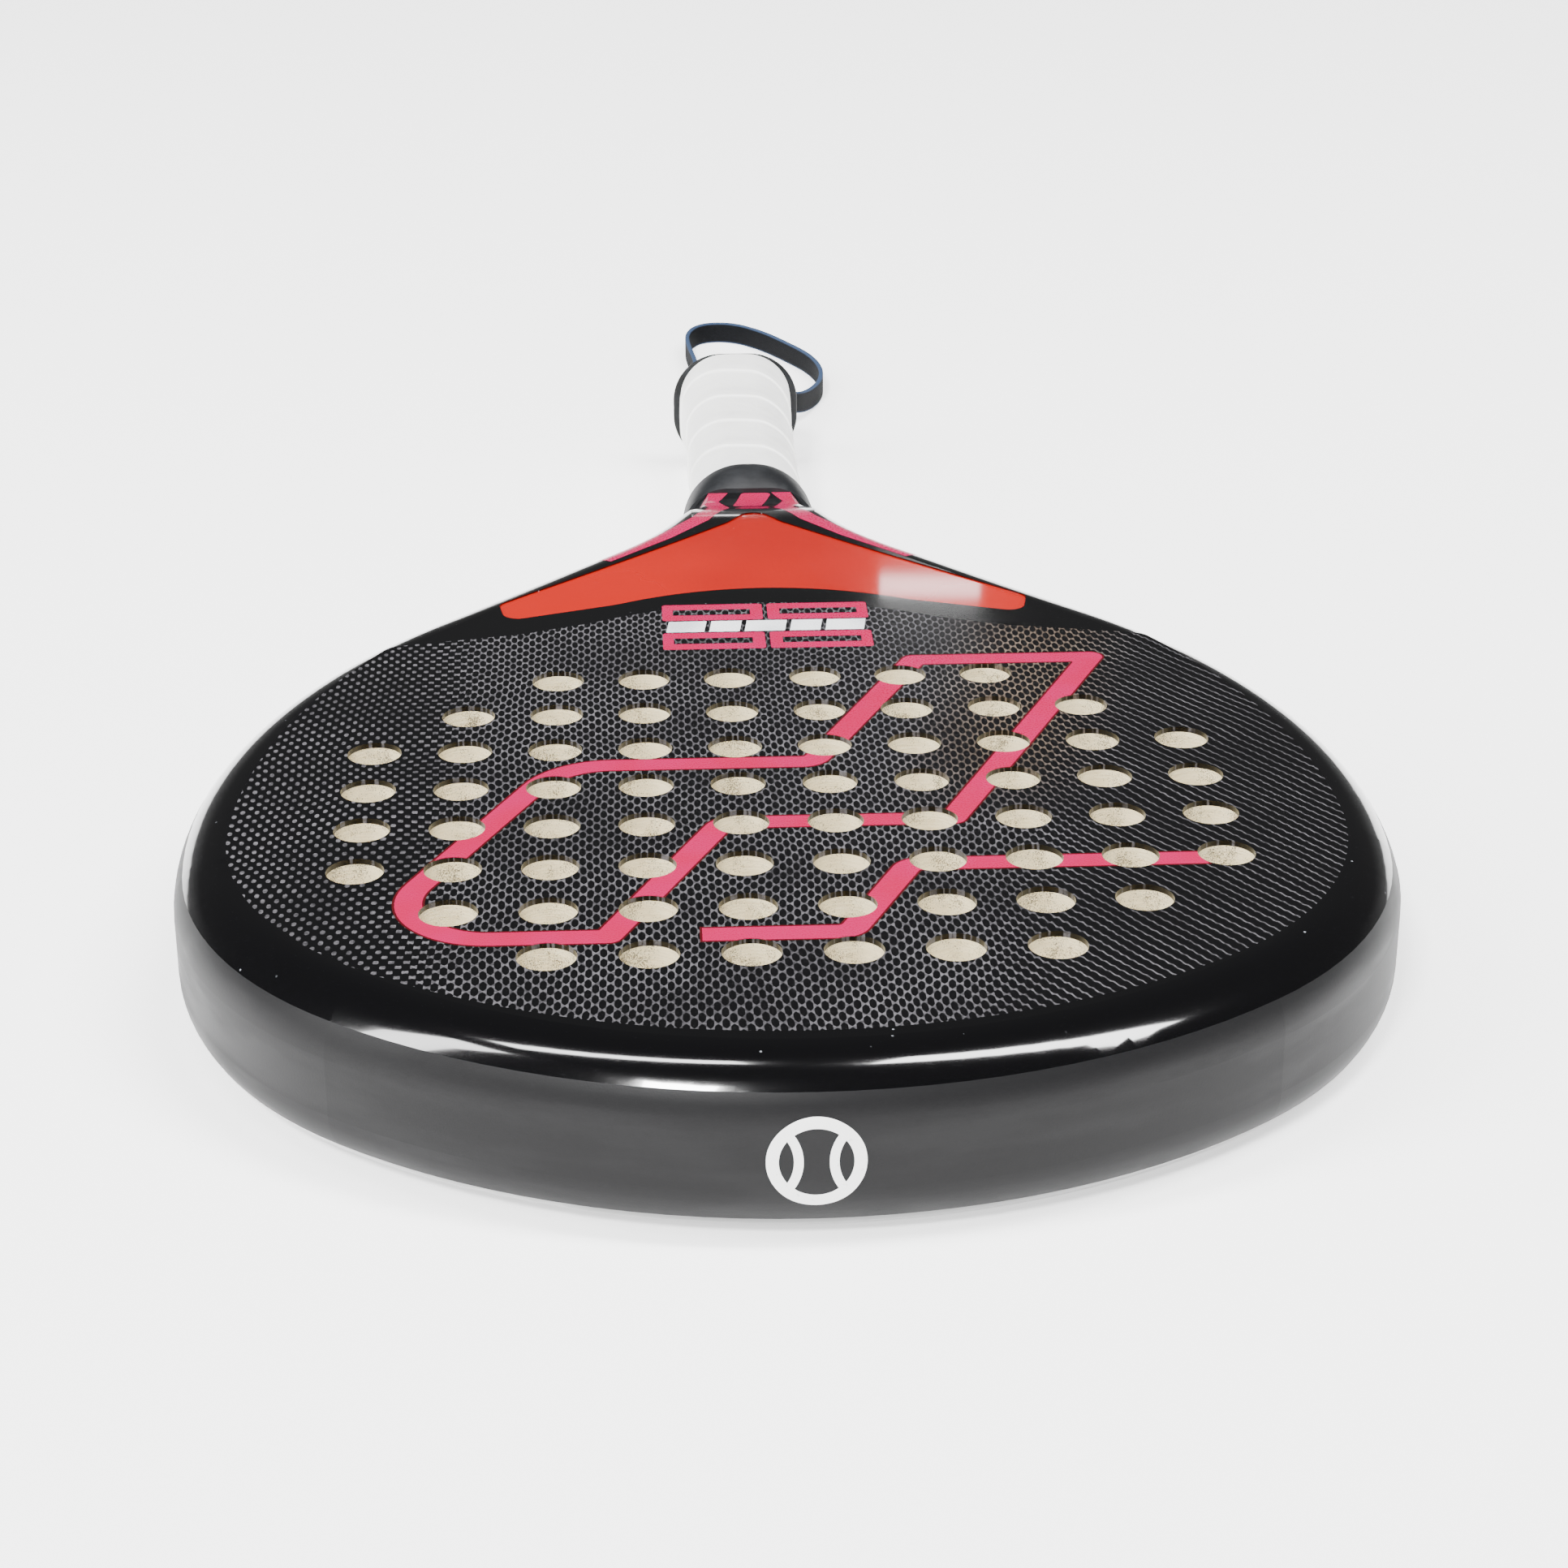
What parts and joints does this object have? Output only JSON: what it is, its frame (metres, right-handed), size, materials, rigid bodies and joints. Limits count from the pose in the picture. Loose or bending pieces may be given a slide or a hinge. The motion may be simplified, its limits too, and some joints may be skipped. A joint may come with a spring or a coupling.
{
  "type": "padel racket",
  "caption": "Padel racket: drilled teardrop head with a carbon frame, coral throat panels, edge protector, wrapped grip and a wrist strap that swings on a pin.",
  "frame": {"origin": "under the middle of the racket's length and width, on the plane its back face lies on (the wrist strap isn't counted)", "axes": "+Z out of the front face; +Y along the racket from the head's tip to the butt; +X to the right, seen from the tip with the front face up"},
  "size_m": [0.2602, 0.5885, 0.038],
  "materials": {
    "gloss_black_frame": "clear gloss lacquer over moulded carbon",
    "woven_face": "woven fibre under clear resin, gloss",
    "eva_foam": "closed-cell foam, matt, drilled",
    "pink_print": "printed ink under gloss lacquer",
    "keyline_print": "dark red ink under gloss lacquer",
    "silver_print": "silver ink under gloss lacquer",
    "coral_panel": "coral red, high gloss",
    "edge_band": "satin, fine grain, scuffed",
    "white_print": "pad-printed",
    "carbon_tube": "moulded composite",
    "core_filler": "rigid foam",
    "collar_rubber": "satin rubber",
    "base_grip_wrap": "cushioned, matt",
    "white_overgrip": "soft tacky wrap, matt",
    "closing_tape": "thin adhesive tape",
    "butt_cap_black": "moulded, satin",
    "pin_steel": "bright drawn",
    "strap_webbing": "flat woven ribbon"
  },
  "bodies": {
    "racket": {"frame_tube": "gloss_black_frame", "throat_bridge": "gloss_black_frame", "core_foam": "eva_foam", "face_skin_front": "woven_face", "face_skin_back": "woven_face", "throat_core": "core_filler", "throat_panel_front": "coral_panel", "throat_panel_back": "coral_panel", "face_ribbon_front": "pink_print", "face_ribbon_back": "pink_print", "step_ribbon_front": "pink_print", "step_ribbon_back": "pink_print", "face_ribbon_keyline_front": "keyline_print", "face_ribbon_keyline_back": "keyline_print", "step_ribbon_keyline_front": "keyline_print", "step_ribbon_keyline_back": "keyline_print", "name_brackets_front": "pink_print", "name_brackets_back": "pink_print", "name_bar_front": "silver_print", "name_bar_back": "silver_print", "arm_stripes_front": "pink_print", "arm_stripes_back": "pink_print", "neck_patch_front": "pink_print", "neck_patch_back": "pink_print", "edge_protector": "edge_band", "tip_emblem": "white_print", "grip_collar": "collar_rubber", "handle_tube": "carbon_tube", "handle_foam": "core_filler", "base_grip": "base_grip_wrap", "overgrip": "white_overgrip", "finishing_tape": "closing_tape", "butt_cap": "butt_cap_black", "strap_pin": "pin_steel"},
    "strap": {"strap_eye": "strap_webbing", "wrist_strap": "strap_webbing"}
  },
  "joints": [
    {"name": "strap_sway", "type": "hinge", "parent": "racket", "child": "strap", "pos_m": [0, 0.2204, 0.019], "axis": [0, 0, 1], "range_deg": [-40, 40]}
  ]
}
